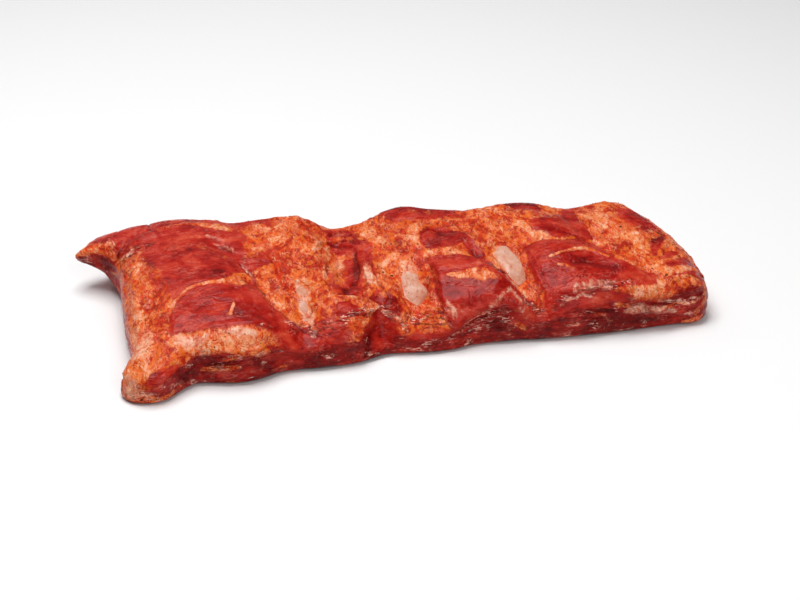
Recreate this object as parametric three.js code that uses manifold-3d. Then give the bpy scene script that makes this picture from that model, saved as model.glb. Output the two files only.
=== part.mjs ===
// A marinated rack of raw beef spare ribs, lying flat with its rib side up.
// Millimetres, +Z up. +X runs along the rack from one rib to the next, and each
// rib bone runs along Y, from the thin cut edge at -Y to the thick edge at +Y.
import * as THREE from "three";
import { ImprovedNoise } from "three/addons/math/ImprovedNoise.js";
import { mergeVertices } from "three/addons/utils/BufferGeometryUtils.js";
import Module from "manifold-3d";

const wasm = await Module();
wasm.setup();

// The slab as a rounded block, before it takes the outline and heights below.
const BLOCK = { length: 330, width: 124, thickness: 38 };
const BLOCK_STEPS = { length: 60, width: 24, thickness: 6 };
const TOP_RADIUS = 13;
const BASE_RADIUS = 4;
// Share of the half thickness over which one radius turns into the other.
const RADIUS_BLEND = 0.3;

// Plan outline, as [x, y] along the rack.
const THIN_EDGE = [
  [-176, -73], [-160, -81], [-148, -86], [-136, -84], [-127, -74], [-118, -68], [-102, -71], [-86, -70.5],
  [-71, -63], [-46, -62], [-28, -60], [-12, -53], [4, -54], [22, -54.5], [38, -50.5], [62, -49.5],
  [92, -51], [130, -49], [180, -44],
];
const THICK_EDGE = [
  [-180, 73], [-160, 79], [-143, 81], [-128, 78], [-107, 74], [-86, 69], [-54, 67], [-30, 61], [-12, 60],
  [12, 63], [40, 58], [60, 56], [90, 58], [112, 55], [138, 56], [180, 50],
];
// Ends of the rack, as [share of the way from thin to thick edge, x].
const LEFT_END = [
  [0, -156], [0.05, -160.5], [0.1, -158], [0.16, -153], [0.3, -152], [0.42, -153.5], [0.66, -153.5],
  [0.78, -154], [0.86, -162], [0.94, -178], [1, -173],
];
const RIGHT_END = [[0, 170], [0.1, 176], [0.3, 178], [0.5, 176.5], [0.68, 171], [0.84, 162.5], [1, 149]];

// Height of the top at the thin edge's lip and along the thick edge, as [x, z].
const LIP_HEIGHT = [
  [-162, 13], [-150, 16], [-136, 19], [-122, 23], [-95, 24], [-74, 20], [-56, 16], [-36, 21], [-14, 19],
  [6, 14], [22, 15], [42, 23], [60, 27], [76, 18], [100, 23], [128, 23], [150, 25], [176, 22],
];
const CREST_HEIGHT = [
  [-178, 25], [-166, 30], [-150, 34.5], [-128, 38.8], [-107, 41], [-84, 38.4], [-66, 40], [-48, 41.4],
  [-28, 34.6], [-19, 35], [-11, 35.6], [0, 39], [18, 42.8], [42, 40.6], [60, 41], [86, 42.6], [110, 37.5],
  [122, 37.3], [139, 40], [156, 37.5], [180, 28.5],
];
const RISE_POWER = 2.3;

// Muscle between two ribs: a low cushion with a soft rim. turn is degrees from +X.
const MUSCLE_PADS = [
  { at: [-99, -37], half: [33, 21], turn: -12, height: 3.2 },
  { at: [-116, 20], half: [36, 34], turn: -20, height: 2.2 },
  { at: [-98, -64], half: [24, 7], turn: 4, height: 3.0 },
  { at: [-30, -38], half: [16, 14], turn: -8, height: 2.6 },
  { at: [-10, -22], half: [7, 26], turn: 12, height: 3.6 },
  { at: [38, -30], half: [21, 19], turn: -4, height: 4.4 },
  { at: [34, 8], half: [18, 13], turn: -30, height: 2.8 },
  { at: [107, -26], half: [30, 20], turn: -14, height: 4.8 },
  { at: [98, 20], half: [26, 14], turn: -16, height: 2.4 },
  { at: [160, -34], half: [13, 12], turn: 0, height: 2.4 },
];
const PAD_RIM = 0.32;

// Hollows: the dent between the left and middle bone, and the low ground over the ribs.
const HOLLOWS = [
  { at: [-28, 26], half: [17, 36], turn: 8, depth: 4.4 },
  { at: [-31, 2], half: [9, 24], turn: 6, depth: 3.4 },
  { at: [-147, -8], half: [16, 42], turn: 0, depth: 1.6 },
  { at: [-58, -6], half: [20, 44], turn: 6, depth: 1.8 },
  { at: [76, 8], half: [13, 34], turn: 8, depth: 2.2 },
  { at: [138, 2], half: [15, 28], turn: 18, depth: 2.0 },
];

// Creases where one muscle ends and the next begins, along smooth paths.
const CREASES = [
  { path: [[-98, 26], [-87, 9], [-79, -16], [-68, -40], [-58, -54]], halfWidth: 10, depth: 3.4 },
  { path: [[-30, 30], [-25, 8], [-31, -20]], halfWidth: 9, depth: 2.4 },
  { path: [[-8, 18], [0, -18], [4, -46]], halfWidth: 9, depth: 2.4 },
  { path: [[30, 22], [50, -6], [62, -26], [74, -50]], halfWidth: 10, depth: 3.2 },
  { path: [[112, 26], [127, -8], [146, -34]], halfWidth: 10, depth: 2.8 },
  { path: [[-160, 44], [-150, 52], [-136, 62]], halfWidth: 9, depth: 3.0 },
];

// The thin edge's face: a notch between two muscles, and a seam between two layers.
const FACE_REACH = 0.16;
const NOTCH = { x: -16, halfWidth: 14, depth: 8, fromUpShare: 0.1, toUpShare: 0.8 };
const SEAM = { x: -94, halfLength: 34, upShare: 0.42, halfHeight: 0.24, depth: 3.2 };

// The far left corner, a flap that stands off the table.
const FLAP = { lift: 17, foldX: -149, tipX: -167, foldY: 42, tipY: 58 };

// Rib bones that show through a scraped window in the meat.
const BONE_GAP = 0.35;
const BONE_HALF_WIDTH = 11;
const BONE_HALF_THICKNESS = 5.5;
const BONE_END_MARGIN = 18;
const BONE_COVER = 1.5;
const BONE_END_COVER = 6;
const BONE_DIVE = 22;
const END_BLUNTNESS = 2.2;
const WINDOW_DEPTH = 2.9;
const WINDOW_RIM = 0.25;
const BONES = [
  { name: "rib_bone_left", x: -56, lean: 0, window: { at: [-55, -32], half: [5, 16], turn: 0 } },
  { name: "rib_bone_middle", x: 8, lean: 1, window: { at: [9, -21], half: [6, 14], turn: 5 } },
  { name: "rib_bone_right", x: 66, lean: 2, window: { at: [67, -15], half: [6.5, 16], turn: 4 } },
];
const BONE_STEPS = { around: 12, along: 20 };

// Uneven surface: swells of two sizes on the top, and the same on the sides, made stronger.
const UNEVENNESS = [
  { size: 44, height: 1.3 },
  { size: 18, height: 0.8 },
];
const SIDE_SWAY = 1.6;
const SIDE_SHIFT = 60;

// Share of the height, from the base up, over which the sides' and the top's forms come in.
const SIDE_START = { low: 0.02, high: 0.3 };
const TOP_START = { low: 0.45, high: 0.95 };

const CURVE_SAMPLES = 12;
const WELD_DISTANCE = 1e-3;

const noise = new ImprovedNoise();

function smoothstep(low, high, value) {
  return THREE.MathUtils.smoothstep(value, low, high);
}

// Points along a smooth curve through [x, y] points.
function smoothLine(points) {
  const curve = new THREE.SplineCurve(points.map(([x, y]) => new THREE.Vector2(x, y)));
  return curve.getPoints(points.length * CURVE_SAMPLES);
}

// A smooth curve through [x, y] points, read as y for a given x.
function curveThrough(points) {
  const samples = smoothLine(points);
  return (x) => {
    const next = samples.findIndex((sample) => sample.x >= x);
    if (next === 0) return samples[0].y;
    if (next < 0) return samples[samples.length - 1].y;
    const [a, b] = [samples[next - 1], samples[next]];
    return THREE.MathUtils.mapLinear(x, a.x, b.x, a.y, b.y);
  };
}

const thinEdge = curveThrough(THIN_EDGE);
const thickEdge = curveThrough(THICK_EDGE);
const leftEnd = curveThrough(LEFT_END);
const rightEnd = curveThrough(RIGHT_END);
const lipHeight = curveThrough(LIP_HEIGHT);
const crestHeight = curveThrough(CREST_HEIGHT);
const creaseLines = CREASES.map((crease) => ({ ...crease, points: smoothLine(crease.path) }));

// How far a point is from the middle of a turned oval with square shoulders: 1 on its edge.
function ovalReach(x, y, { at, half, turn }) {
  const angle = THREE.MathUtils.degToRad(turn);
  const along = (x - at[0]) * Math.cos(angle) + (y - at[1]) * Math.sin(angle);
  const across = (y - at[1]) * Math.cos(angle) - (x - at[0]) * Math.sin(angle);
  return Math.sqrt(Math.hypot((along / half[0]) ** 2, (across / half[1]) ** 2));
}

// 1 in the middle of a band, 0 from its half width on.
function band(distance, halfWidth) {
  return 1 - smoothstep(0, halfWidth, distance);
}

function unevenness(x, y, z) {
  return UNEVENNESS.reduce(
    (sum, { size, height }) => sum + height * noise.noise(x / size, y / size, z / size + size),
    0,
  );
}

// Pads, hollows and creases of the top, above the plain rise from lip to crest.
function relief(x, y) {
  let z = unevenness(x, y, 0);
  for (const pad of MUSCLE_PADS) {
    z += pad.height * (1 - smoothstep(1 - PAD_RIM, 1 + PAD_RIM, ovalReach(x, y, pad)));
  }
  for (const hollow of HOLLOWS) z -= hollow.depth * band(ovalReach(x, y, hollow), 1);
  for (const { points, halfWidth, depth } of creaseLines) {
    const distance = Math.min(...points.map((point) => Math.hypot(point.x - x, point.y - y)));
    z -= depth * band(distance, halfWidth);
  }
  return z;
}

// Height of the top's plain surface, share being the way from thin to thick edge.
function plainTop(x, share) {
  const rise = 1 - (1 - share) ** RISE_POWER;
  return THREE.MathUtils.lerp(lipHeight(x), crestHeight(x), rise);
}

function topHeight(x, y) {
  const share = (y - thinEdge(x)) / (thickEdge(x) - thinEdge(x));
  return plainTop(x, THREE.MathUtils.clamp(share, 0, 1)) + relief(x, y);
}

// Height of the underside: flat on the table, but for the flap.
function baseHeight(x, y) {
  const outwards = smoothstep(-FLAP.foldX, -FLAP.tipX, -x);
  return FLAP.lift * outwards * smoothstep(FLAP.foldY, FLAP.tipY, y);
}

// How far the thin edge's face stands back at a point, upShare being 1 at the top.
function faceInset(x, upShare) {
  const opening = smoothstep(NOTCH.fromUpShare, NOTCH.toUpShare, upShare);
  const notch = NOTCH.depth * opening * band(Math.abs(x - NOTCH.x), NOTCH.halfWidth);
  const along = band(Math.abs(x - SEAM.x), SEAM.halfLength);
  const seam = SEAM.depth * Math.sqrt(along) * band(Math.abs(upShare - SEAM.upShare), SEAM.halfHeight);
  return notch + seam;
}

// Moves a point of the block onto the block with rounded edges.
function roundEdges(point) {
  const { length, width, thickness } = BLOCK;
  const radius = THREE.MathUtils.lerp(
    BASE_RADIUS,
    TOP_RADIUS,
    smoothstep(-RADIUS_BLEND, RADIUS_BLEND, (2 * point.z) / thickness),
  );
  const core = new THREE.Vector3(length / 2 - radius, width / 2 - radius, thickness / 2 - radius);
  const inner = point.clone().clamp(core.clone().negate(), core);
  const outwards = point.clone().sub(inner);
  if (outwards.lengthSq() === 0) return point.clone();
  return inner.addScaledVector(outwards.normalize(), radius);
}

function boneX({ x, lean }, y) {
  return x - y * Math.tan(THREE.MathUtils.degToRad(lean));
}

// Depth of the scraped windows over the bones.
function windowPit(x, y) {
  const reach = Math.min(...BONES.map(({ window }) => ovalReach(x, y, window)));
  return WINDOW_DEPTH * (1 - smoothstep(1 - WINDOW_RIM, 1 + WINDOW_RIM, reach));
}

// A point of the block moved to its place on the slab.
function slabPoint(blockPoint) {
  const { length, width, thickness } = BLOCK;
  const rounded = roundEdges(blockPoint);
  const acrossShare = rounded.y / width + 0.5;
  const alongShare = rounded.x / length + 0.5;
  const upShare = rounded.z / thickness + 0.5;
  const x = THREE.MathUtils.lerp(leftEnd(acrossShare), rightEnd(acrossShare), alongShare);
  const y = THREE.MathUtils.lerp(thinEdge(x), thickEdge(x), acrossShare);
  const topWeight = smoothstep(TOP_START.low, TOP_START.high, upShare);
  const base = baseHeight(x, y);
  const plain = THREE.MathUtils.lerp(base, plainTop(x, acrossShare), upShare);
  const z = plain + topWeight * (relief(x, y) - windowPit(x, y));
  const inset = faceInset(x, upShare) * band(acrossShare, FACE_REACH);
  const sideWeight = smoothstep(SIDE_START.low, SIDE_START.high, upShare) * (1 - topWeight);
  const sway = SIDE_SWAY * sideWeight * unevenness(x, z, y + SIDE_SHIFT);
  return new THREE.Vector3(x, y + inset + sway * Math.sign(rounded.y), z);
}

function slabGeometry() {
  const { length, width, thickness } = BLOCK;
  const steps = BLOCK_STEPS;
  const block = new THREE.BoxGeometry(length, width, thickness, steps.length, steps.width, steps.thickness);
  const position = block.getAttribute("position");
  const point = new THREE.Vector3();
  for (let i = 0; i < position.count; i++) {
    point.fromBufferAttribute(position, i);
    position.setXYZ(i, ...slabPoint(point));
  }
  return block;
}

// A rib bone: a flattened rod with blunt ends, just under the skin at its window and deeper beyond.
function boneGeometry(bone, grow) {
  const rod = new THREE.SphereGeometry(1, BONE_STEPS.around, BONE_STEPS.along);
  const start = thinEdge(bone.x) + BONE_END_MARGIN;
  const end = thickEdge(bone.x) - BONE_END_MARGIN;
  const windowY = bone.window.at[1];
  const halfLength = bone.window.half[1];
  const position = rod.getAttribute("position");
  const point = new THREE.Vector3();
  for (let i = 0; i < position.count; i++) {
    point.fromBufferAttribute(position, i);
    const pole = Math.asin(THREE.MathUtils.clamp(point.y, -1, 1)) / (Math.PI / 2);
    const radius = Math.hypot(point.x, point.z);
    const blunt = radius > 0 ? Math.min(1, radius * END_BLUNTNESS) / radius : 0;
    const y = THREE.MathUtils.lerp(start, end, pole / 2 + 0.5) + grow * pole;
    const x = boneX(bone, y);
    const deeper = smoothstep(halfLength, halfLength + BONE_DIVE, Math.abs(y - windowY));
    const cover = THREE.MathUtils.lerp(BONE_COVER, BONE_END_COVER, deeper);
    const centre = topHeight(x, y) - cover - BONE_HALF_THICKNESS;
    position.setXYZ(
      i,
      x + point.x * blunt * (BONE_HALF_WIDTH + grow),
      y,
      centre + point.z * blunt * (BONE_HALF_THICKNESS + grow),
    );
  }
  return rod;
}

// A geometry as a closed solid that can be joined and cut.
function solidOf(geometry) {
  const bare = new THREE.BufferGeometry();
  bare.setAttribute("position", geometry.getAttribute("position"));
  bare.setIndex(geometry.index);
  const merged = mergeVertices(bare, WELD_DISTANCE);
  const triangles = [];
  const index = merged.index.array;
  for (let i = 0; i < index.length; i += 3) {
    const [a, b, c] = [index[i], index[i + 1], index[i + 2]];
    if (a !== b && b !== c && c !== a) triangles.push(a, b, c);
  }
  return new wasm.Manifold(
    new wasm.Mesh({
      numProp: 3,
      vertProperties: merged.getAttribute("position").array,
      triVerts: new Uint32Array(triangles),
    }),
  );
}

function geometryOf(solid) {
  const mesh = solid.getMesh();
  const geometry = new THREE.BufferGeometry();
  geometry.setAttribute("position", new THREE.BufferAttribute(mesh.vertProperties, 3));
  geometry.setIndex(new THREE.BufferAttribute(mesh.triVerts, 1));
  geometry.computeVertexNormals();
  return geometry;
}

const rawMeat = new THREE.MeshStandardMaterial({ color: 0xb02a20, roughness: 0.35, metalness: 0 });
const bareBone = new THREE.MeshStandardMaterial({ color: 0xe6b9a6, roughness: 0.3, metalness: 0 });

// The meat: one piece, with a channel for each bone.
let meatSolid = solidOf(slabGeometry());
for (const bone of BONES) meatSolid = meatSolid.subtract(solidOf(boneGeometry(bone, BONE_GAP)));

const rack = new THREE.Group();
rack.name = "rack";
const meat = new THREE.Mesh(geometryOf(meatSolid), rawMeat);
meat.name = "meat";
rack.add(meat);
for (const bone of BONES) {
  const rib = new THREE.Mesh(geometryOf(solidOf(boneGeometry(bone, 0))), bareBone);
  rib.name = bone.name;
  rack.add(rib);
}

// The origin is the middle of the footprint, on the table.
const bounds = new THREE.Box3().setFromObject(rack);
const middle = bounds.getCenter(new THREE.Vector3());
rack.position.set(-middle.x, -middle.y, -bounds.min.z);

export default rack;
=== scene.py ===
# A marinated rack of raw beef spare ribs, rib side up. Blender works in metres; the drawing below is
# in millimetres, x along the rack and y along the ribs, from the thin cut edge to the thick edge.
import math

import bmesh
import bpy
import numpy as np
from mathutils import Matrix, Vector, noise
from mathutils.bvhtree import BVHTree


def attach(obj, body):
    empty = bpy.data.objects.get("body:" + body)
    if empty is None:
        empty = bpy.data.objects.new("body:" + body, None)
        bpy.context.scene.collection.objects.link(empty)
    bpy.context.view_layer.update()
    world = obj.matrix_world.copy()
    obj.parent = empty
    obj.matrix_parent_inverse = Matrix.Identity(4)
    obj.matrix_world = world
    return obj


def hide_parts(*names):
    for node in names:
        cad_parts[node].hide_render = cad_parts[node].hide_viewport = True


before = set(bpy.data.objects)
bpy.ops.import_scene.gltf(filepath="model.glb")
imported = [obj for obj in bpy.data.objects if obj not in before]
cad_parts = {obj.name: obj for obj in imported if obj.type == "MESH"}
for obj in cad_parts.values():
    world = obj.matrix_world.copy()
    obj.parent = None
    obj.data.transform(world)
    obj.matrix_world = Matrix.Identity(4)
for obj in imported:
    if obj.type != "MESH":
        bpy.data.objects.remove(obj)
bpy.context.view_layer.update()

MM = 0.001
# The drawing's zero, from the middle of the rack's footprint.
DRAWING_SHIFT = np.array([0.04, 2.30, 0.0])

# Surface net of the meat, and how often it is smoothed to take its facets away.
NET_SIZE = 1.04
SMOOTHING_PASSES = 16
# Share of the net's faces that is kept once the hidden underside is thinned out.
KEPT_SHARE = 0.76
# How far the bones are swollen to fill their channels, and the reach in metres for merging doubles.
CHANNEL_FILL = 0.6
MERGE_REACH = 1e-6

# How far apart in the noise two seeds lie.
SEED_STEP = 17.3
# How far the outlines wander in wide swells and in narrow ones.
BROAD_WANDER = 2.0
FINE_WANDER = 1.4
# The share of that for raised and sunk forms, for the bare bone, and for what is drawn on the front.
STEADY_WANDER = 0.35
WINDOW_WANDER = 0.4
FACE_WANDER = 0.3
# The cut front face begins between these two y.
CUT_EDGE_START = (-20, -30)
# The cut right end is swollen again after the net is smoothed: by how much, and between which x.
END_SWELL = 1.3
END_REACH = (150, 172)
# Between these heights the relief fades in, so that the base stays flat.
FLAT_BASE = (0.2, 1.6)
# A crease this deep is painted in full shade all through.
FULL_SHADE_CREASE = 1.6

BONES = ("rib_bone_left", "rib_bone_middle", "rib_bone_right")

# Muscle seen from above, as closed outlines.
MUSCLES = {
    "flap": [
        (-172, 66), (-162, 80), (-140, 86), (-120, 86), (-120, 66), (-146, 56), (-152, 44), (-157, 54),
    ],
    "far left": [
        (-151, 46), (-149, 58), (-135, 72), (-110, 70), (-96, 68), (-84, 64), (-76, 54), (-84, 46),
        (-80, 36), (-83, 24), (-81, 14), (-72, 11), (-69, 6), (-76, 3), (-81, -1), (-86, 0), (-92, -8),
        (-97, -17), (-118, -20), (-125, -28), (-128, -24), (-129, -12), (-132, -2), (-133, 6), (-138, 14),
        (-144, 28),
    ],
    "far left edge": [
        (-125, 66), (-125, 90), (-40, 84), (-46, 66), (-60, 60), (-72, 50), (-84, 52), (-90, 62),
    ],
    "near left": [
        (-127, -35), (-118, -24), (-108, -22), (-98, -23), (-89, -23), (-84, -14), (-81, -4), (-79, -16),
        (-78, -28), (-75, -37), (-68, -43), (-58, -48), (-48, -56), (-52, -66), (-66, -66), (-78, -60),
        (-95, -59), (-118, -59), (-131, -57), (-131, -45),
    ],
    "dent channel": [
        (-26, 18), (-19, 16), (-17, 4), (-18, -8), (-21, -20), (-26, -32), (-35, -34), (-34, -24),
        (-29, -12), (-26, 2),
    ],
    "dent fold": [
        (-32, 37), (-20, 35), (-10, 28), (-8, 16), (-11, 4), (-15, -2), (-18, 6), (-21, 18), (-28, 28),
    ],
    "left rib end": [(-62, -47), (-50, -47), (-42, -50), (-34, -53), (-34, -68), (-64, -68)],
    "dent arch": [(-34, 47), (-24, 50), (-16, 46), (-14, 36), (-20, 38), (-25, 40), (-31, 38)],
    "dent lip": [(-40, -41), (-34, -39.5), (-28, -42), (-24, -47), (-33, -52), (-40, -52)],
    "above notch": [(-20, -35), (-12, -32), (-5, -33), (-1, -42), (-4, -47), (-9, -42), (-15, -40)],
    "notch": [(-15, -41), (-9, -43), (-4, -52), (-8, -62), (-30, -62), (-26, -54), (-20, -47)],
    "arc": [
        (18, 10), (21, 20), (27, 26), (38, 26), (45, 18), (49, 6), (51, -8), (56, -24), (64, -38),
        (60, -40), (52, -30), (47, -18), (43, -4), (41, 6), (36, 4), (28, 1), (21, 2),
    ],
    "near middle": [
        (20, -4), (28, -3), (38, -8), (44, -12), (48, -20), (55, -31), (66, -40), (74, -42), (72, -52),
        (40, -52), (22, -52), (20, -38), (21, -20),
    ],
    "far middle": [(1, 56), (4, 46), (8, 38), (18, 37), (34, 38), (46, 42), (52, 60), (24, 70), (0, 66)],
    "near right": [
        (77, 1), (84, 3), (96, 1), (112, 4), (120, 3), (121, -8), (121, -15), (126, -24), (134, -30),
        (146, -32), (146, -40), (140, -52), (100, -54), (80, -50), (77, -34), (76, -18),
    ],
    "far right": [
        (86, 12), (87, 22), (98, 25), (106, 34), (112, 46), (119, 44), (118, 26), (121, 10), (114, 5),
        (98, 4),
    ],
    "far right edge": [(78, 46), (84, 36), (96, 36), (98, 50), (90, 62), (76, 60)],
    "right rib foot": [(58, -47), (66, -49), (74, -47), (90, -46), (90, -60), (58, -60)],
    "end far": [(139, 26), (144, 36), (152, 38), (160, 26), (162, 12), (154, 6), (146, 10), (142, 18)],
    "end streak": [(148, -17), (152, -4), (158, 2), (164, 10), (168, 4), (162, -6), (154, -19)],
    "foot face": [
        (-148, -84), (-142, -80), (-134, -77), (-126, -73), (-120, -76), (-124, -92), (-150, -92),
    ],
    "end low": [
        (150, -24), (158, -14), (166, -12), (178, -16), (178, -44), (164, -48), (150, -42), (158, -34),
    ],
}
# Muscles that stand above the fat beside them with a crisp rim, and by how much.
PROUD_MUSCLES = {
    "near left": 1.3,
    "near middle": 1.6,
    "near right": 1.4,
    "far right": 0.6,
    "far middle": 0.6,
    "dent lip": 1.0,
}

# Fat that lies on the muscle, as strips: [x, y, half width] along each.
FAT_STRIPS = {
    "near left rim": [
        (-129, -33, 1.2), (-123, -28, 1.1), (-117, -22, 1.1), (-109, -20.5, 1), (-100, -20, 1.6),
        (-94, -16, 3.2), (-88, -9, 4), (-84, -4, 2.4),
    ],
    "near left fleck": [(-95, -41, 0.8), (-98, -50, 1)],
    "lip roll": [(-129, -62, 3.5), (-118, -62, 5), (-106, -63.5, 4.6), (-94, -65.5, 4.4), (-82, -65, 3.4)],
    "far left haze": [(-128, 52, 1.5), (-112, 55, 2.5), (-97, 50, 4.5), (-88, 46, 3)],
    "far left haze two": [(-102, 60, 1.5), (-95, 63, 2.5)],
    "flap rim": [(-175, 65, 4), (-166, 61, 3.2), (-157, 57, 2.2)],
    "foot rim": [(-148, -82, 1), (-141, -78, 1.2), (-133, -75, 1.2), (-125, -71.5, 0.9)],
    "dent ridge": [(-25, 21, 1.2), (-30, 10, 1.4), (-36, -2, 1.2), (-41, -13, 1.2)],
    "near middle patch": [(27, -26, 1), (33, -28, 2.4), (42, -30, 4.4), (47, -33, 4.2), (53, -37, 1.6)],
    "arc patch": [(20, -1, 2.6), (27, -2, 4.4), (36, -4, 4.8), (43, -9, 2.4)],
    "near right arc": [
        (88, -19, 0.9), (97, -17, 1), (104, -13.5, 1.3), (109, -13, 1.3), (115, -15, 1.1), (121, -22, 0.8),
    ],
    "near right streak": [(91, -26, 0.7), (95, -28, 1.3), (99, -32, 0.8)],
    "near right crest": [(118, -46, 0.5), (127, -46, 1.4), (137, -46, 2.4), (148, -44, 2)],
    "end stripe one": [(152, -20, 1.2), (160, -6, 1.6), (170, 8, 1.6)],
    "end stripe two": [(148, -28, 1.2), (160, -22, 1.8), (172, -10, 1.4)],
    "end stripe three": [(148, -36, 1.8), (160, -33, 2.8), (176, -26, 1.8)],
    "end stripe four": [(150, -43, 2), (160, -41, 3.2), (170, -38, 2.4), (177, -34, 1.4)],
}

# Thin fat through which the muscle shows, on the muscle and beside it.
THIN_FAT = {
    "left margin": [(-144, 40, 5), (-142, 24, 7), (-140, 8, 5), (-134, -6, 3), (-129, -26, 2)],
    "left margin low": [(-148, -48, 3), (-148, -62, 4)],
    "far left": [(-126, 30, 6), (-108, 24, 7), (-94, 12, 6)],
    "far left top": [(-120, 60, 6), (-96, 58, 6), (-84, 48, 4)],
    "left rib band": [(-57, 12, 4), (-48, 12, 7), (-40, 4, 6), (-38, -14, 5), (-38, -30, 4)],
    "left rib far": [(-78, 16, 4), (-66, 14, 5)],
    "left rib end": [(-60, -50, 3), (-46, -53, 4), (-36, -54, 3)],
    "dent": [(-24, 44, 6), (-18, 34, 6), (-16, 10, 5), (-16, -14, 7)],
    "dent lip": [(-30, -36, 4), (-22, -38, 4)],
    "middle rib far": [(0, 34, 6), (4, 24, 8), (6, 12, 5)],
    "far middle": [(10, 44, 4), (30, 44, 5)],
    "far right": [(100, 30, 6), (112, 16, 5)],
    "far right rib": [(134, 28, 4), (142, 16, 5), (152, 6, 5), (162, 10, 5), (166, 0, 4)],
    "far right back": [(124, 46, 6), (128, 38, 6)],
    "far left back": [(-74, 50, 6), (-62, 50, 6)],
    "right back": [(86, 30, 6), (96, 30, 5)],
}
THIN_SHARE = 0.75

# Where the fat is pale rather than orange.
CREAM_STRIPS = {
    "left margin": [(-148, -16, 2), (-147, -28, 3), (-146, -40, 4), (-145, -54, 5), (-148, -76, 6)],
    "left margin far": [(-142, 30, 3), (-142, 10, 3), (-142, -10, 3)],
    "foot": [(-152, -78, 8), (-140, -82, 6)],
    "flap": [(-177, 65, 4), (-166, 60, 3)],
    "lip roll left": [(-126, -61, 6), (-117, -61, 6)],
    "near left fleck": [(-95, -41, 2), (-98, -50, 2)],
    "lip roll right": [(-112, -63, 6), (-98, -65, 6), (-84, -66, 4)],
    "near left rim": [(-129, -33, 3), (-118, -22, 2.5), (-100, -20, 2.5), (-88, -17, 3)],
    "far left haze": [(-97, 50, 4), (-92, 46, 4)],
    "left rib edge": [(-77, -18, 2), (-74, -30, 2.5), (-68, -40, 2.5), (-61, -45, 2)],
    "left rib flecks": [(-55, -14, 4), (-55, -30, 4), (-54, -46, 5)],
    "left rib far": [(-76, 40, 4), (-66, 42, 6), (-56, 46, 5)],
    "left rib far two": [(-60, 30, 4), (-74, 22, 3)],
    "dent fold one": [(-35, 36, 1.4), (-40, 24, 1.8), (-44, 14, 1.2)],
    "dent fold two": [(-31, 33, 1.4), (-36, 18, 1.6), (-41, 2, 1.4)],
    "dent ridge": [(-24, 22, 2.5), (-30, 10, 2.5), (-41, -13, 2)],
    "dent lip": [(-40, -34, 2), (-30, -36, 2), (-20, -38, 2)],
    "dent right": [(-10, 44, 3), (-8, 30, 3), (-2, 20, 2)],
    "middle rib": [(-8, -2, 2), (0, 6, 2.5), (8, -2, 4), (6, -12, 4)],
    "arc top": [(14, 8, 4), (15, 16, 5), (17, 28, 5), (26, 36, 3), (32, 35, 2)],
    "arc patch": [(22, -2, 3), (30, -3, 4), (38, -6, 3.5)],
    "near middle patch": [(30, -28, 4), (40, -31, 4), (50, -35, 3)],
    "right rib far": [(54, 38, 4), (66, 44, 3), (72, 36, 3)],
    "right rib mid": [(60, 26, 2), (66, 20, 2), (70, 12, 2)],
    "right rib patch": [(78, 19, 4), (83, 13, 4), (90, 7, 3.5), (97, 5, 2)],
    "right rib edge": [(58, 2, 3), (57, -14, 3), (61, -34, 5), (68, -40, 3)],
    "near right crest": [(124, -44, 2), (133, -45, 3), (146, -44, 3)],
    "near right arc": [(88, -19, 2), (104, -13.5, 2), (121, -22, 2)],
    "far right fleck": [(119, 9, 2.5), (123, 3, 2.5)],
    "far right top": [(124, 36, 5), (132, 26, 6), (126, 16, 4)],
    "far right rib": [(132, 6, 3), (142, 4, 5), (146, -8, 4)],
    "far right low": [(144, -24, 5), (150, -32, 4), (158, -36, 4), (166, -38, 3)],
    "right end": [(156, 30, 3), (160, 8, 4), (162, -16, 4), (166, -30, 6)],
}

# Paprika stain, where the fat turns a strong orange red.
STAIN_STRIPS = {
    "left margin": [(-148, 26, 5), (-143, 8, 7), (-139, -8, 7), (-136, -26, 6), (-135, -44, 5)],
    "left margin mid": [(-130, -8, 3), (-130, -20, 3), (-130, -32, 3)],
    "left margin foot": [(-137, -54, 3), (-135, -60, 3)],
    "left rib": [(-66, 6, 5), (-66, -8, 5), (-62, -24, 5), (-58, -30, 3)],
    "left rib far": [(-78, 28, 3), (-70, 26, 5), (-62, 16, 4), (-52, 20, 5)],
    "dent far": [(-34, 40, 4), (-22, 44, 5)],
    "dent side": [(-14, 36, 4), (-10, 22, 4)],
    "middle rib": [(8, -38, 7), (14, -44, 5), (18, -30, 3), (17, -8, 2.5)],
    "middle rib far": [(-6, 12, 5), (10, 8, 5), (16, 6, 3)],
    "right rib edge": [(73, -2, 3), (73, -20, 3), (72, -40, 4)],
    "right rib far": [(52, 20, 4), (56, 10, 4)],
    "far right rib": [(124, -4, 3), (130, -12, 5), (136, -20, 6), (142, -28, 4)],
    "far right top": [(122, 22, 2), (128, 10, 3)],
    "flap tip": [(-178, 66, 6), (-168, 62, 3)],
}

# Where the muscle and the fat are darker: a deeper red in places, and painted shade in hollows such as the
# arc crease.
DEEP_AND_SHADED_STRIPS = {
    "arc": [(22, 22, 6), (36, 22, 6), (45, 12, 5), (49, -6, 4)],
    "far middle": [(4, 52, 9), (24, 54, 9), (42, 52, 7)],
    "far right edge": [(82, 46, 7), (94, 48, 6)],
    "above notch": [(-18, -36, 4), (-6, -38, 4)],
    "end streak": [(154, 0, 5), (164, 8, 4)],
    "middle rib far": [(0, 32, 9), (6, 14, 8)],
    "right rib far": [(56, 42, 9), (66, 28, 9), (72, 12, 7)],
}

# Silver skin: smooth, greyish pink.
SKIN_STRIPS = {
    "lip roll": [(-127, -62.5, 3), (-118, -62.5, 3.6), (-113, -62, 2)],
    "lip roll right": [(-105, -61.5, 1.6), (-98, -62.5, 2.6), (-87, -64.5, 2.2)],
    "left rib flecks": [
        (-56, -13, 1.6), (-55, -22, 3.6), (-56, -31, 2.4), (-55, -40, 3.4), (-54, -46, 1.6),
    ],
}
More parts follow.
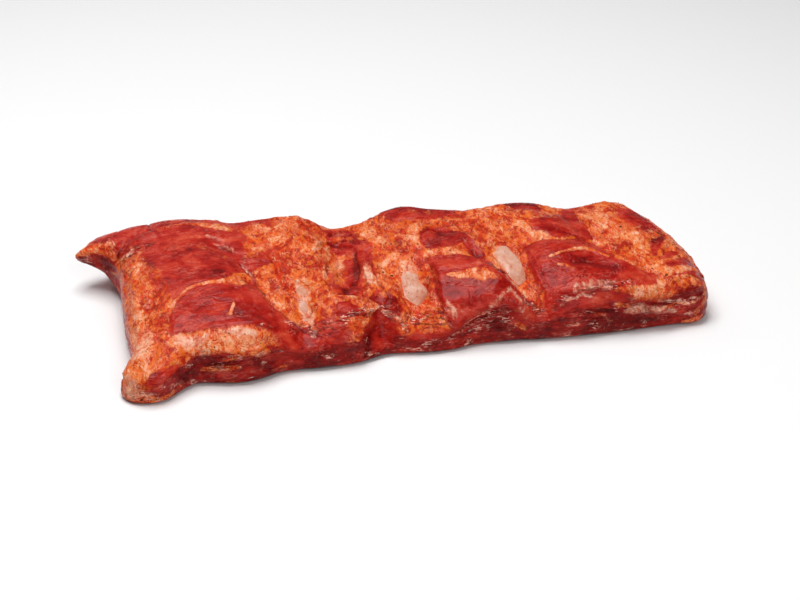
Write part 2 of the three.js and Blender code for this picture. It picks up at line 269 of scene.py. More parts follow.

# Silver skin so thin that what is under it shows through, with painted sheen and glints along crests,
# creases and lips.
FAINT_SKIN_AND_SHEEN = {
    "middle rib": [(5, -3, 3), (8, -6, 4)],
    "left margin": [(-144, -46, 4), (-143, -56, 5)],
    "left margin foot": [(-146, -62, 3), (-145, -70, 3)],
    "left margin far": [(-142, -18, 2), (-142, -26, 2)],
    "flap": [(-160, 60, 2), (-156, 57, 2)],
    "flap far": [(-162, 74, 2), (-157, 72, 3)],
    "far edge": [(-128, 70, 3), (-122, 68, 3)],
    "left shoulder": [(-150, 40, 1.4), (-146, 35, 1.6), (-141, 38, 1.2)],
    "far left crease one": [(-103, 38, 0.8), (-98, 35, 1.2), (-94, 32.5, 0.8)],
    "far left crease two": [(-99, 30, 0.9), (-94, 27, 1.4), (-88, 19, 0.9)],
    "far left crease three": [(-85, 5, 0.7), (-80, -2, 0.8)],
    "dent crest": [(-27, 22, 1.2), (-28, 12, 2), (-31, 4, 1.5)],
    "dent side": [(-16, -2, 1), (-16, -12, 2), (-17, -22, 2.4)],
    "notch left": [(-23, -47, 0.8), (-15.5, -40.5, 0.9)],
    "notch right": [(-13, -40.5, 0.8), (-8, -44, 1), (-3, -48, 0.8)],
    "middle fleck": [(25, -43, 1), (27, -47, 1.6)],
    "right rib low": [(62, -30, 4), (60, -38, 3)],
    "far right fleck": [(120, 7, 1.4), (123, 3, 1.4)],
    "near right crest": [(96, -43.5, 1.4), (105, -43, 2.6), (114, -44, 2.4), (120, -44, 1.4)],
    "near right lip": [(86, -47, 0.5), (94, -47, 0.6), (102, -46.5, 0.6)],
    "near middle lip": [(34, -50, 0.8), (46, -48, 1), (57, -43.5, 1.2), (62, -46, 1), (65, -49, 0.8)],
    "end tip": [(170, -28, 1), (175, -34, 1.4), (176, -42, 1)],
}

# Wet, finely crinkled places, where small painted glints gather.
WET_AND_GLINT_STRIPS = {
    "notch left": [(-40, -54, 2), (-30, -49, 2.4), (-19, -43, 2)],
    "notch right": [(-13, -40, 1.2), (-7, -45, 1.8), (-1, -50, 1.4)],
    "left rib end": [(-66, -46, 3), (-56, -50, 4), (-44, -54, 4)],
    "middle rib end": [(2, -44, 3), (12, -47, 4), (22, -47, 4)],
    "right rib end": [(66, -44, 3), (76, -46, 3)],
    "near right lip": [(84, -46, 1.6), (98, -46, 1.8), (112, -45, 1.8), (128, -44, 2)],
    "far left": [(-150, 34, 4), (-138, 36, 4)],
}

# Fat, silver skin and wet places on the cut front face, with painted glints, as [x, height, half width]
# strips.
FRONT_FAT = {
    "lip roll": [(-134, 22, 4.6), (-120, 21, 3.8), (-104, 23, 2.8), (-88, 21, 3), (-81, 16, 2)],
    "foot": [(-164, 10, 9), (-150, 14, 7), (-140, 19, 3)],
    "foot low": [(-166, 4, 6), (-152, 4, 6), (-146, 3, 3)],
    "foot rim": [(-146, 15, 2), (-136, 18.5, 1.6), (-126, 17, 1.4)],
    "foot edge": [(-150, 1, 2.5), (-138, 2, 2), (-128, 4, 1.2)],
    "left streak": [(-105, 15.5, 0.7), (-95, 17, 1.7), (-84, 16.5, 1.6)],
    "left seam": [(-116, 9, 0.8), (-107, 9.8, 1.7), (-96, 9.8, 1.1)],
    "left rib": [(-74, 20, 2), (-62, 19, 4), (-48, 17, 5), (-40, 19, 4)],
    "middle rib": [(-2, 18, 2), (8, 17, 4), (18, 19, 3)],
    "right rib": [(60, 20.5, 1), (70, 19.5, 1.8), (84, 18.5, 1.2)],
    "right rib low": [(62, 12, 1.6), (66, 9, 1.6)],
    "far right": [(123, 24, 1.4), (130, 23.5, 3), (137, 21.5, 3.4), (144, 19, 2.2)],
    "curl": [(118, 20.5, 1.4), (121, 18, 1.6), (126, 16.5, 1)],
    "end": [(146, 13.6, 0.5), (156, 14.6, 0.7), (166, 14, 0.5)],
    "end rim": [(167, 8, 1.4), (172, 12, 1.6), (174, 20, 1.3)],
    "end foot": [(160, 3, 1.2), (170, 4, 2)],
}
FRONT_SKIN_AND_GLINTS = {
    "lip roll": [(-131, 19.5, 2.4), (-122, 20.5, 3.2), (-113, 21, 2.4)],
    "foot tip": [(-162, 7, 3.5), (-154, 7, 4), (-148, 8, 2)],
    "far right": [(124, 23.5, 0.8), (134, 21.5, 1.5), (144, 19, 1.5), (151, 16.5, 0.8)],
    "roll shine": [(124, 14.5, 1.4), (133, 15.2, 2.6), (144, 13.4, 2.4), (154, 11, 1.4)],
    "end": [(150, 17.5, 0.7), (162, 14, 1), (172, 16, 0.8)],
    "strata one": [(28, 13, 0.4), (38, 18, 0.6), (46, 20.5, 0.4)],
    "strata two": [(24, 10, 0.4), (34, 13, 0.5), (42, 16, 0.4)],
    "notch": [(-14, 20, 0.7), (-9, 16, 0.9), (-4, 15, 0.7)],
}
FRONT_WET_AND_GLINTS = {
    "left seam": [(-124, 9, 1.4), (-104, 10, 2), (-86, 11, 1.2)],
    "notch": [(-34, 18, 2.4), (-24, 16, 3), (-16, 18, 4), (-9, 17, 3), (-2, 17, 1.6)],
    "strata": [(26, 13, 1.6), (38, 17, 2), (50, 19, 1.8), (58, 21, 1.2)],
    "left rib": [(-72, 14, 2), (-56, 13, 3), (-42, 13, 2)],
    "lumps": [(92, 10, 2), (104, 10, 2.4), (112, 9, 1.4)],
    "end": [(122, 21, 2), (136, 20, 2.6), (150, 17, 1.6)],
}

# Rolls and hollows on the front face: [x, height, half width, how far it stands out] along each.
FRONT_RELIEF = {
    "lip roll": [(-132, 22, 5, 1), (-110, 22, 5, 1.6), (-88, 20, 5, 1.6), (-80, 16, 4, 0.6)],
    "under lip": [(-118, 15.5, 2.2, -0.8), (-100, 17.5, 2.2, -1.6), (-88, 14.5, 2, -1)],
    "left seam": [
        (-124, 9.5, 1.8, -0.6), (-104, 13, 1.8, -2.2), (-84, 13, 1.8, -1.4), (-72, 12, 1.5, -0.4),
    ],
    "left low roll": [(-118, 5, 4, 0.8), (-96, 6, 4.5, 1.6), (-80, 6, 4, 0.9)],
    "foot hollow": [(-134, 10, 5, -1), (-126, 9, 4.5, -1.2)],
    "foot rim": [(-146, 16, 2.5, 0.8), (-134, 18.5, 2.2, 1.2), (-126, 17, 2, 0.5)],
    "notch": [(-23, 6, 5, -2), (-20, 13, 5, -4.5), (-16, 20, 3, -2.5)],
    "notch tooth": [(-10, 6, 2.4, 1.6), (-12, 13, 2, 2), (-14, 19, 1.2, 0.6)],
    "strata one": [(22, 9, 1.4, -0.6), (34, 14.5, 1.6, -1.6), (48, 20, 1.6, -1.8), (58, 23, 1.2, -0.8)],
    "strata two": [(18, 5, 1.2, -0.4), (34, 10, 1.5, -1.4), (50, 15, 1.5, -1.5), (60, 18, 1.2, -0.6)],
    "strata three": [(26, 3, 1.2, -0.5), (40, 6.5, 1.5, -1.3), (56, 10, 1.4, -1.2)],
    "right rib tongue": [(64, 20, 3, 0.8), (74, 18, 3.5, 1.2), (82, 18, 2.5, 0.4)],
    "under near right": [(84, 17, 2.2, -1), (94, 17.5, 3, -3), (106, 17, 3, -3.2), (117, 15, 2, -1.2)],
    "under streak": [(86, 12.5, 1.2, -0.8), (102, 13, 1.4, -1.6), (116, 11, 1.2, -1.2)],
    "lumps": [(95, 9, 2.6, 1), (104, 8.5, 2.8, 1.2), (112, 8, 2.2, 0.6)],
    "roll": [(118, 13, 3, 0.8), (130, 13.5, 4, 2.2), (146, 12, 4.2, 2.2), (160, 9.5, 3, 0.8)],
    "under roll": [(120, 7, 1.5, -0.8), (138, 6.5, 2, -2.2), (156, 5.5, 1.6, -1)],
    "above roll": [(122, 17.5, 1.2, -0.8), (138, 17.5, 1.4, -1.8), (156, 14, 1.3, -1.2)],
}

# Creases: [x, y, half width, depth] along each.
CREASES = {
    "near left rim": [
        (-84, 0, 1.5, 0.6), (-80, -8, 2, 1.6), (-77, -22, 2.2, 2), (-72, -38, 2.2, 2), (-62, -47, 2.2, 1.6),
        (-50, -57, 2, 0.8),
    ],
    "near left top": [
        (-130, -32, 1.2, 0.3), (-118, -20, 1.4, 0.8), (-100, -17, 1.4, 0.8), (-92, -8, 1.4, 0.4),
    ],
    "far left one": [(-104, 38, 1.2, 0.2), (-98, 33, 1.5, 1.4), (-93, 29, 1.2, 0.4)],
    "far left two": [(-99, 28, 1.2, 0.4), (-93, 24, 1.5, 1.5), (-87, 16, 1.3, 0.4)],
    "far left three": [(-88, 10, 1.2, 0.3), (-83, 2, 1.6, 1.7), (-79, -5, 1.5, 1.2)],
    "flap root": [(-156, 47, 1.6, 1.2), (-150, 52, 1.8, 2), (-142, 60, 1.6, 1), (-136, 70, 1.5, 0.4)],
    "flap fold": [(-163, 62, 1.2, 0.5), (-156, 66, 1.5, 1.2), (-150, 74, 1.4, 0.8)],
    "left shoulder": [(-152, 36, 1.3, 0.8), (-146, 33, 1.4, 1.2), (-139, 37, 1.2, 0.2)],
    "far left fold": [(-134, 74, 1.4, 0.6), (-133, 58, 1.5, 0.9), (-129, 44, 1.3, 0.3)],
    "dent": [
        (-33, 35, 1.2, 0.4), (-27, 34, 1.6, 1.1), (-21, 29, 1.8, 1), (-18, 22, 2, 1.2), (-20, 10, 2.8, 2.2),
        (-22, -6, 3.6, 2.6), (-26, -18, 3.6, 2.4), (-32, -30, 3, 1.6),
    ],
    "dent left": [(-34, 10, 1.8, 0.6), (-38, -6, 2, 1.4), (-42, -22, 1.8, 0.8)],
    "dent right": [(-12, 18, 1.4, 0.6), (-13, 2, 1.6, 1.2), (-12, -18, 1.8, 1.8), (-8, -34, 1.8, 1.6)],
    "dent arch": [
        (-36, 28, 1.2, 0.3), (-31, 36, 1.4, 1.2), (-25, 38, 1.5, 1.4), (-19, 35, 1.4, 1),
        (-16, 26, 1.2, 0.3),
    ],
    "dent arch two": [(-36, 38, 1.2, 0.4), (-28, 44, 1.4, 1), (-18, 42, 1.3, 0.9), (-12, 34, 1.2, 0.3)],
    "under dent lip": [(-42, -48, 1.4, 0.6), (-32, -50, 1.6, 1.4), (-24, -48, 1.4, 0.8)],
    "above dent lip": [(-42, -33, 1.2, 0.5), (-32, -33, 1.4, 1), (-22, -34, 1.2, 0.4)],
    "arc": [
        (43, 14, 1.6, 0.4), (46, 0, 2.2, 1.6), (51, -18, 2.4, 2.2), (60, -34, 2.4, 2.2), (70, -44, 2, 1),
    ],
    "arc band": [(18, 6, 1.2, 0.4), (20, 18, 1.4, 1.2), (26, 25, 1.4, 1), (36, 26, 1.2, 0.4)],
    "near middle left": [(19, 0, 1.4, 0.3), (19, -18, 1.8, 1.2), (19, -40, 1.6, 0.8)],
    "near right left": [(78, 0, 1.2, 0.3), (79, -18, 1.4, 0.7), (81, -38, 1.4, 0.6)],
    "near right top": [(84, 4, 1.2, 0.4), (100, 2, 1.4, 0.9), (116, 4, 1.2, 0.4)],
    "near right arc": [
        (88, -21, 1.2, 0.2), (103, -16, 1.5, 0.5), (112, -16, 1.5, 0.5), (121, -25, 1.4, 0.2),
    ],
    "near right hollow": [(98, -26, 5, 0.4), (112, -26, 6, 0.6), (122, -30, 5, 0.4)],
    "far right": [
        (120, 18, 1.5, 0.4), (121, 2, 1.8, 1.5), (124, -18, 1.9, 1.6), (133, -29, 1.8, 1.4),
        (146, -34, 1.6, 0.5),
    ],
    "far right top": [(121, 44, 1.4, 0.6), (120, 30, 1.5, 1), (120, 18, 1.4, 0.6)],
    "end one": [(146, 24, 1.4, 0.3), (156, 14, 1.6, 1), (167, 2, 1.4, 0.4)],
    "end two": [(146, -18, 1.4, 0.4), (156, -16, 1.6, 0.9), (164, -6, 1.5, 0.7), (172, 4, 1.4, 0.3)],
    "end three": [(150, -30, 1.3, 0.3), (162, -26, 1.5, 0.9), (177, -20, 1.3, 0.3)],
    "end four": [(154, -43, 1.3, 0.4), (166, -38, 1.4, 0.9), (177, -34, 1.3, 0.4)],
}

# Raised folds, as [x, y, half width, height] along each.
CRESTS = {
    "dent": [(-22, 26, 1.8, 0.6), (-25, 12, 2.6, 1.8), (-30, 0, 2.2, 1.4), (-36, -10, 1.8, 0.8)],
    "dent side": [(-16, 6, 1.4, 0.4), (-17, -8, 1.8, 1.2), (-17, -22, 2.4, 1.5), (-20, -34, 2.2, 1)],
    "dent lip": [(-42, -36, 1.8, 0.6), (-31, -36, 2.2, 1.5), (-22, -37, 2, 1.5), (-15, -40, 1.6, 1)],
    "left fan": [(-36, 34, 1.8, 0.8), (-42, 20, 2, 1.2), (-46, 4, 1.6, 0.5)],
    "left fan two": [(-44, 36, 1.6, 0.5), (-50, 24, 2, 1.1), (-54, 10, 1.6, 0.5)],
    "arc top": [(13, 12, 2, 0.6), (15, 26, 2.6, 1.3), (24, 35, 2.2, 1)],
    "right window": [(53, 10, 2, 0.5), (53, -8, 2.4, 1.2), (58, -26, 2.2, 1.2), (66, -39, 1.8, 0.6)],
    "near right": [(90, -43, 2.2, 0.5), (106, -45, 2.8, 1.2), (126, -46, 3, 1.3), (146, -44, 2.6, 0.6)],
    "far right": [(126, 20, 2.4, 0.8), (130, 4, 2.6, 1.2), (134, -14, 2.2, 0.8)],
    "left margin": [(-146, 20, 2.6, 0.5), (-147, -10, 3, 0.9), (-147, -50, 3, 0.9), (-150, -70, 2.6, 0.5)],
    "far left": [(-150, 50, 2, 0.5), (-140, 44, 2.6, 1), (-124, 46, 2.4, 0.8), (-110, 42, 2, 0.4)],
    "shoulder": [(-78, 24, 2, 0.5), (-70, 10, 2.6, 1.1), (-68, -10, 2, 0.5)],
}

# Zones of long folds that run one way: from, to, half width, and spacing of the folds.
FIBRE_ZONES = (
    ((-33, 36), (-45, -8), 9, 3.2),
    ((-8, 50), (2, 12), 9, 3.4),
    ((150, -28), (172, 0), 9, 3.6),
    ((152, -44), (176, -30), 8, 3.2),
    ((54, 44), (58, 10), 9, 3.8),
    ((60, -30), (58, -42), 7, 2.6),
)
# How high these folds are, and how far one runs, along it and in depth, before it changes.
FIBRE_HEIGHT = 0.55
FIBRE_LENGTH = 26
FIBRE_DEPTH = 12

# Places where the bone is scraped bare, as closed outlines.
BARE_BONE = {
    "rib_bone_left": [
        [(-57.5, -17), (-54, -15), (-51.5, -18), (-52.5, -23), (-55, -25), (-57.5, -22)],
        [(-57.5, -30), (-54, -29), (-53, -33), (-55, -36), (-57.5, -34)],
        [(-57, -39), (-53, -38), (-51.5, -42), (-53.5, -45), (-57, -43)],
    ],
    "rib_bone_middle": [
        [
            (3, -12), (8, -9), (12, -12), (12.5, -19), (15.5, -23), (16, -29), (13, -32), (9, -35),
            (4.5, -34), (2.5, -28), (2.5, -20),
        ],
    ],
    "rib_bone_right": [
        [
            (58.5, -3), (61, 3), (67, 2), (69.5, -6), (71.5, -12), (72.5, -20), (72.5, -29), (67, -35),
            (63.5, -31), (61.5, -18), (59.5, -10),
        ],
    ],
}
# The soft edge of the bare bone and of the opening in the meat over it: where each starts and where it
# ends, measured outwards from these outlines.
BARE_EDGE = (-1.0, 2.4)
OPENING_EDGE = (-0.3, 3.3)
# How far the bare bone stands above the meat beside it, and how low an opening may reach.
BONE_STAND = 0.1
LOWEST_WINDOW = 8


def smoothstep(low, high, value):
    share = np.clip((value - low) / (high - low), 0, 1)
    return share * share * (3 - 2 * share)


def swell(points, size, seed):
    """Smooth noise between -1 and 1, with swells of about size millimetres, in [x, y, z] or all alike."""
    spots = points / np.array(size, float) + seed * SEED_STEP
    return np.array([noise.noise(spot) for spot in spots.tolist()])


def stretches(spots, strip):
    """For each stretch of a strip, how far each spot is from it, and the strip's width and so on there."""
    points = np.array(strip, float)
    for start, end in zip(points[:-1], points[1:]):
        edge = end[:2] - start[:2]
        share = np.clip((spots - start[:2]) @ edge / (edge @ edge), 0, 1)[:, None]
        away = np.linalg.norm(spots - start[:2] - share * edge, axis=1)
        yield away, (start[2:] + share * (end[2:] - start[2:])).T


def outline_distance(spots, outline):
    """Distance of each [x, y] spot from a closed outline, less than 0 inside it."""
    closed = np.array([*outline, outline[0]], float)
    nearest = np.min([away for away, _ in stretches(spots, closed)], axis=0)
    inside = np.zeros(len(spots), bool)
    for start, end in zip(closed[:-1], closed[1:]):
        straddles = (start[1] > spots[:, 1]) != (end[1] > spots[:, 1])
        run, rise = end - start
        meets = start[0] + (spots[:, 1] - start[1]) * run / (rise or 1.0)
        inside ^= straddles & (spots[:, 0] < meets)
    return np.where(inside, -nearest, nearest)


def strip_cover(spots, strip, softness):
    """1 in the middle of a strip of [x, y, half width] points, 0 outside it."""
    reach = np.min([away / width for away, (width,) in stretches(spots, strip)], axis=0)
    return 1 - smoothstep(1 - softness, 1 + softness, reach)


def strips_cover(spots, strips, softness):
    return np.max([strip_cover(spots, strip, softness) for strip in strips.values()], axis=0)


def crease_depth(spots, crease):
    """Depth at each spot of a crease of [x, y, half width, depth] points, less than 0 if it stands out."""
    depth = np.zeros(len(spots))
    for away, (width, middle) in stretches(spots, crease):
        there = middle * (1 - smoothstep(0, 1, away / width))
        depth = np.where(np.abs(there) > np.abs(depth), there, depth)
    return depth


def bare_cover(name, spots, edge):
    """1 inside a bone's bare patches and 0 outside them, with a soft edge from and to these distances."""
    outlines = BARE_BONE[name]
    return np.max([1 - smoothstep(*edge, outline_distance(spots, outline)) for outline in outlines], axis=0)


def add_object(name, data):
    made = bpy.data.objects.new(name, data)
    bpy.context.scene.collection.objects.link(made)
    return made


def new_piece(name, shape):
    """An object made of a bmesh, which is then freed."""
    mesh = bpy.data.meshes.new(name)
    shape.to_mesh(mesh)
    shape.free()
    return add_object(name, mesh)


def apply_modifiers(piece):
    graph = bpy.context.evaluated_depsgraph_get()
    finished = bpy.data.meshes.new_from_object(piece.evaluated_get(graph))
    unfinished = piece.data
    piece.modifiers.clear()
    piece.data = finished
    bpy.data.meshes.remove(unfinished)


def vectors_of(collection, name):
    values = np.zeros(len(collection) * 3, np.float32)
    collection.foreach_get(name, values)
    return values.reshape(-1, 3).astype(float)


def set_places(mesh, places):
    """Moves the points of a mesh to places in millimetres, and shades it smooth."""
    mesh.vertices.foreach_set("co", (places * MM).astype(np.float32).ravel())
    mesh.polygons.foreach_set("use_smooth", np.ones(len(mesh.polygons), bool))
    mesh.update()


def add_paint(mesh, name, values):
    layer = mesh.attributes.new(name, "FLOAT", "POINT")
    layer.data.foreach_set("value", np.clip(values, 0, 1).astype(np.float32))


def merged_bone(name):
    """A copy of a packed bone with its doubles merged."""
    shape = bmesh.new()
    shape.from_mesh(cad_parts[name].data)
    bmesh.ops.remove_doubles(shape, verts=shape.verts, dist=MERGE_REACH)
    bmesh.ops.recalc_face_normals(shape, faces=shape.faces)
    return shape


def filled_slab():
    """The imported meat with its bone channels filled, as one even net of small faces."""
    shell = bmesh.new()
    shell.from_mesh(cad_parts["meat"].data)
    for name in BONES:
        rod = merged_bone(name)
        rod.normal_update()
        swollen = [vert.co + vert.normal * CHANNEL_FILL * MM for vert in rod.verts]
        for vert, place in zip(rod.verts, swollen):
            vert.co = place
        part = bpy.data.meshes.new(name + "_fill")
        rod.to_mesh(part)
        rod.free()
        shell.from_mesh(part)
        bpy.data.meshes.remove(part)
    bmesh.ops.remove_doubles(shell, verts=shell.verts, dist=MERGE_REACH)
    slab = new_piece("meat_surface", shell)
    net = slab.modifiers.new("net", "REMESH")
    net.mode = "VOXEL"
    net.voxel_size = NET_SIZE * MM
    net.use_smooth_shade = True
    smooth = slab.modifiers.new("smooth", "SMOOTH")
    smooth.factor = 0.5
    smooth.iterations = SMOOTHING_PASSES
    apply_modifiers(slab)
    return slab


def wander_of(points):
    """How far the drawing is shifted sideways at each point, in [x, y]."""
    return np.column_stack([
        BROAD_WANDER * swell(points, 15, seed) + FINE_WANDER * swell(points, 4.5, seed + 2)
        for seed in (1, 2)
    ])


class Ground:
    """The points of the slab as the drawing sees them, and which way each of them faces."""

    def __init__(self, places, normals):
        self.drawn = places - DRAWING_SHIFT
        # The outlines wander a little, so that nothing is drawn with a ruler.
        wander = wander_of(self.drawn)
        self.spots = self.drawn[:, :2] + wander
        self.steady = self.drawn[:, :2] + STEADY_WANDER * wander
        self.windows = self.drawn[:, :2] + WINDOW_WANDER * wander
        self.face = self.drawn[:, [0, 2]] + FACE_WANDER * wander

        self.upward = smoothstep(0.12, 0.5, normals[:, 2])
        self.frontward = smoothstep(0.2, 0.6, -normals[:, 1]) * (1 - self.upward)
        self.sideways = 1 - smoothstep(0.3, 0.7, np.abs(normals[:, 2]))
        self.downward = smoothstep(0.3, 0.8, -normals[:, 2])
        self.cut_edge = smoothstep(*CUT_EDGE_START, self.drawn[:, 1])
        # The cut edges show layers of muscle.
        self.layers = swell(self.drawn, (26, 26, 2.6), 5)

    def top(self, strips, softness):
        return strips_cover(self.spots, strips, softness) * self.upward

    def front(self, strips, softness):
        return strips_cover(self.face, strips, softness) * self.frontward * self.cut_edge


def edge_fat(ground):
    """Fat on the edges of the slab: thin seams between the layers."""
    seams = smoothstep(0.25, 0.6, ground.layers + 0.6 * swell(ground.drawn, (14, 14, 7), 6))
    front = np.maximum(ground.front(FRONT_FAT, 0.35), 0.35 * seams * ground.frontward)
    left_end = smoothstep(-142, -150, ground.drawn[:, 0]) * smoothstep(12, 26, ground.drawn[:, 2])
    side = np.maximum(seams * (1 - ground.downward), 0.55 * left_end)
    return front + (1 - ground.frontward) * side


def top_fat(ground, into_fat, laid_fat):
    """Fat on the top: outside the muscles and in the strips, thin in places, none low on the front."""
    fat = np.maximum(smoothstep(-2.4, 2.4, into_fat), laid_fat)
    fat += (0.5 - fat) * THIN_SHARE * strips_cover(ground.spots, THIN_FAT, 0.8)
    low = smoothstep(15, 9, ground.drawn[:, 2]) * smoothstep(-138, -130, ground.drawn[:, 0])
    return fat * (1 - ground.cut_edge * low)


def tone_paints(ground):
    """Where the fat is cream or stained, and where the meat has silver skin or painted sheen, painted
    glints, or painted shade and a deeper red.
    """
    faced_away = 1 - ground.upward
    # Silver skin, with painted sheen and glints along crests, creases, lips and the front strata.
    skin_and_sheen = np.maximum(0.9 * ground.top(SKIN_STRIPS, 0.8), 0.6 * ground.top(FAINT_SKIN_AND_SHEEN, 0.8))
    # Wet places and the whole cut front face, where glints and crack shade are painted.
    wet_and_glints = np.maximum(ground.top(WET_AND_GLINT_STRIPS, 0.6), 0.65 * ground.frontward)
    # Painted shade on the underside, and a deeper red on the cut front face that is partly painted shade.
    shade_and_deep_red = np.maximum(0.5 * ground.frontward, 0.6 * ground.downward)
    return {
        "cream": ground.top(CREAM_STRIPS, 0.6) + 0.35 * faced_away,
        "stain": ground.top(STAIN_STRIPS, 0.6) + 0.3 * faced_away,
        "skin_and_sheen": skin_and_sheen + 0.7 * ground.front(FRONT_SKIN_AND_GLINTS, 0.8),
        "wet_and_glints": np.maximum(wet_and_glints, ground.front(FRONT_WET_AND_GLINTS, 0.6)),
        "shade_and_deep_red": np.maximum(shade_and_deep_red, 0.5 * ground.top(DEEP_AND_SHADED_STRIPS, 0.6)),
    }


def fibre_relief(ground):
    """Ridges that run along each fibre zone."""
    ridges = np.zeros(len(ground.drawn))
    for start, end, half_width, spacing in FIBRE_ZONES:
        along = np.array(end, float) - start
        along /= np.linalg.norm(along)
        across = np.array([-along[1], along[0]])
        turned = np.column_stack([
            ground.steady @ along / FIBRE_LENGTH,
            ground.steady @ across / spacing,
            ground.drawn[:, 2] / FIBRE_DEPTH,
        ])
        zone = strip_cover(ground.steady, [(*start, half_width), (*end, half_width)], 0.5)
        ridges += FIBRE_HEIGHT * zone * swell(turned, 1, 21)
    return ridges


def relief_of(ground, fat, laid_fat):
    """How far the surface stands out, how deep it lies in a crease, and where its small crests are."""
    lumps = swell(ground.drawn, (5, 7, 5), 7)
    curds = swell(ground.drawn, (3.2, 4.4, 3.2), 8)
    folds = 1 - 2 * np.abs(swell(ground.drawn, (6, 16, 9), 9))
    strands = swell(ground.drawn, (16, 3.6, 6), 10)
    top = fat * (0.5 * lumps + 0.35 * curds + 0.3 * folds) + (1 - fat) * 0.3 * strands + 0.3 * laid_fat
    for name, height in PROUD_MUSCLES.items():
        top += height * (1 - smoothstep(-2.0, 0.5, outline_distance(ground.steady, MUSCLES[name])))
    for crest in CRESTS.values():
        top += crease_depth(ground.steady, crest)
    ledges = 1 - 2 * np.abs(swell(ground.drawn, (34, 34, 5.2), 12))
    side = 0.9 * ledges - 0.4 + 0.4 * ground.layers + 0.3 * curds + 0.3 * lumps
    side += END_SWELL * smoothstep(*END_REACH, ground.drawn[:, 0])
    creases = [crease_depth(ground.steady, crease) for crease in CREASES.values()]
    valley = np.max(creases, axis=0) * ground.upward
    relief = 0.35 * swell(ground.drawn, 12, 11) - valley
    relief += (top + fibre_relief(ground)) * ground.upward + side * ground.sideways
    for roll in FRONT_RELIEF.values():
        height = crease_depth(ground.face, roll) * ground.frontward * ground.cut_edge
        relief += height
        valley = np.maximum(valley, -height)
    return relief, valley, 0.5 + 0.5 * lumps + 0.35 * curds + 0.2 * folds


def carve_meat(slab):
    """Gives the slab its muscles, fat, creases and bare windows, and paints where each of them lies."""
    mesh = slab.data
    places = vectors_of(mesh.vertices, "co") / MM
    normals = vectors_of(mesh.vertex_normals, "vector")
    ground = Ground(places, normals)
    into_fat = np.min([outline_distance(ground.spots, outline) for outline in MUSCLES.values()], axis=0)
    laid_fat = strips_cover(ground.steady, FAT_STRIPS, 0.7)
    inner = np.maximum(smoothstep(0, 9, into_fat), 0.8 * laid_fat)
    fat = ground.upward * top_fat(ground, into_fat, laid_fat) + (1 - ground.upward) * edge_fat(ground)
    relief, valley, crest_light_and_shade = relief_of(ground, fat, laid_fat)
    above_table = smoothstep(*FLAT_BASE, places[:, 2])
    places += normals * (relief * above_table)[:, None]
    sink_windows(places, ground.windows)
    places[:, 2] = np.maximum(places[:, 2], 0.0)
    set_places(mesh, places)

    paints = tone_paints(ground)
    # Painted shade: creases and front hollows are darkened, and their fat painted thinner, the deeper they
    # lie.
    crease_shade = np.clip(valley / FULL_SHADE_CREASE, 0, 1)
    paints["fat"] = fat * (1 - 0.6 * crease_shade)
    paints["inner"] = inner * ground.upward + 0.4 * (1 - ground.upward)
    paints["shade_and_deep_red"] = np.maximum(paints["shade_and_deep_red"], crease_shade)
    # Painted light and shade: the crests of the small lumps are painted lighter and the hollows between
    # them darker.
    paints["crest"] = crest_light_and_shade
    for name, values in paints.items():
        add_paint(mesh, name, values)
    thin_underside(slab, places, normals)
    return slab


def thin_underside(slab, places, normals):
    """Joins the small faces of the flat underside, which nothing shows, into larger ones."""
    underside = slab.vertex_groups.new(name="underside")
    flat = (places[:, 2] < 0.3) & (normals[:, 2] < -0.95)
    underside.add(np.nonzero(flat)[0].tolist(), 1.0, "REPLACE")
    thinning = slab.modifiers.new("thinning", "DECIMATE")
    thinning.ratio = KEPT_SHARE
    thinning.vertex_group = underside.name
    thinning.vertex_group_factor = 1000.0
    apply_modifiers(slab)
    slab.vertex_groups.clear()


def sink_windows(places, spots):
    """Sinks the meat just under each bone where it is scraped bare."""
    graph = bpy.context.evaluated_depsgraph_get()
    for name in BONES:
        surface = BVHTree.FromObject(bpy.data.objects[name + "_surface"], graph)
        cover = bare_cover(name, spots, OPENING_EDGE)
        for index in np.nonzero((cover > 0.001) & (places[:, 2] > LOWEST_WINDOW))[0]:
            above = Vector((places[index, 0] * MM, places[index, 1] * MM, 0.1))
            hit = surface.ray_cast(above, Vector((0, 0, -1)))[0]
            if hit is None:
                continue
            sunk = min(places[index, 2], hit.z / MM - BONE_STAND)
            places[index, 2] += (sunk - places[index, 2]) * cover[index]


def smooth_bone(name):
    """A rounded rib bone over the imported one, painted where it is scraped bare."""
    bone = new_piece(name + "_surface", merged_bone(name))
    rounding = bone.modifiers.new("rounding", "SUBSURF")
    rounding.levels = rounding.render_levels = 3
    apply_modifiers(bone)
    places = vectors_of(bone.data.vertices, "co") / MM
    normals = vectors_of(bone.data.vertex_normals, "vector")
    drawn = places - DRAWING_SHIFT
    places += normals * (0.25 * swell(drawn, (4, 12, 4), 31) + 0.12 * swell(drawn, 2.5, 32))[:, None]
    set_places(bone.data, places)
    spots = drawn[:, :2] + WINDOW_WANDER * wander_of(drawn)
    add_paint(bone.data, "bare", bare_cover(name, spots, BARE_EDGE))
    return bone


def colour(*screen):
    """A colour named as on a screen, 0 to 255, in the linear form that shaders use."""
    linear = [((c / 255 + 0.055) / 1.055) ** 2.4 if c > 10 else c / 255 / 12.92 for c in screen]
    return (*linear, 1.0)


# Colours from the darkest to the palest, with the share at which each of them is reached.
MUSCLE_TONES = (
    (0.12, (102, 8, 6)), (0.3, (142, 16, 11)), (0.48, (172, 34, 22)), (0.66, (192, 62, 41)),
    (0.85, (216, 106, 76)),
)
FAT_TONES = (
    (0.1, (160, 34, 14)), (0.26, (184, 50, 20)), (0.42, (202, 72, 26)), (0.56, (213, 98, 46)),
    (0.7, (222, 130, 80)), (0.9, (232, 168, 136)),
)
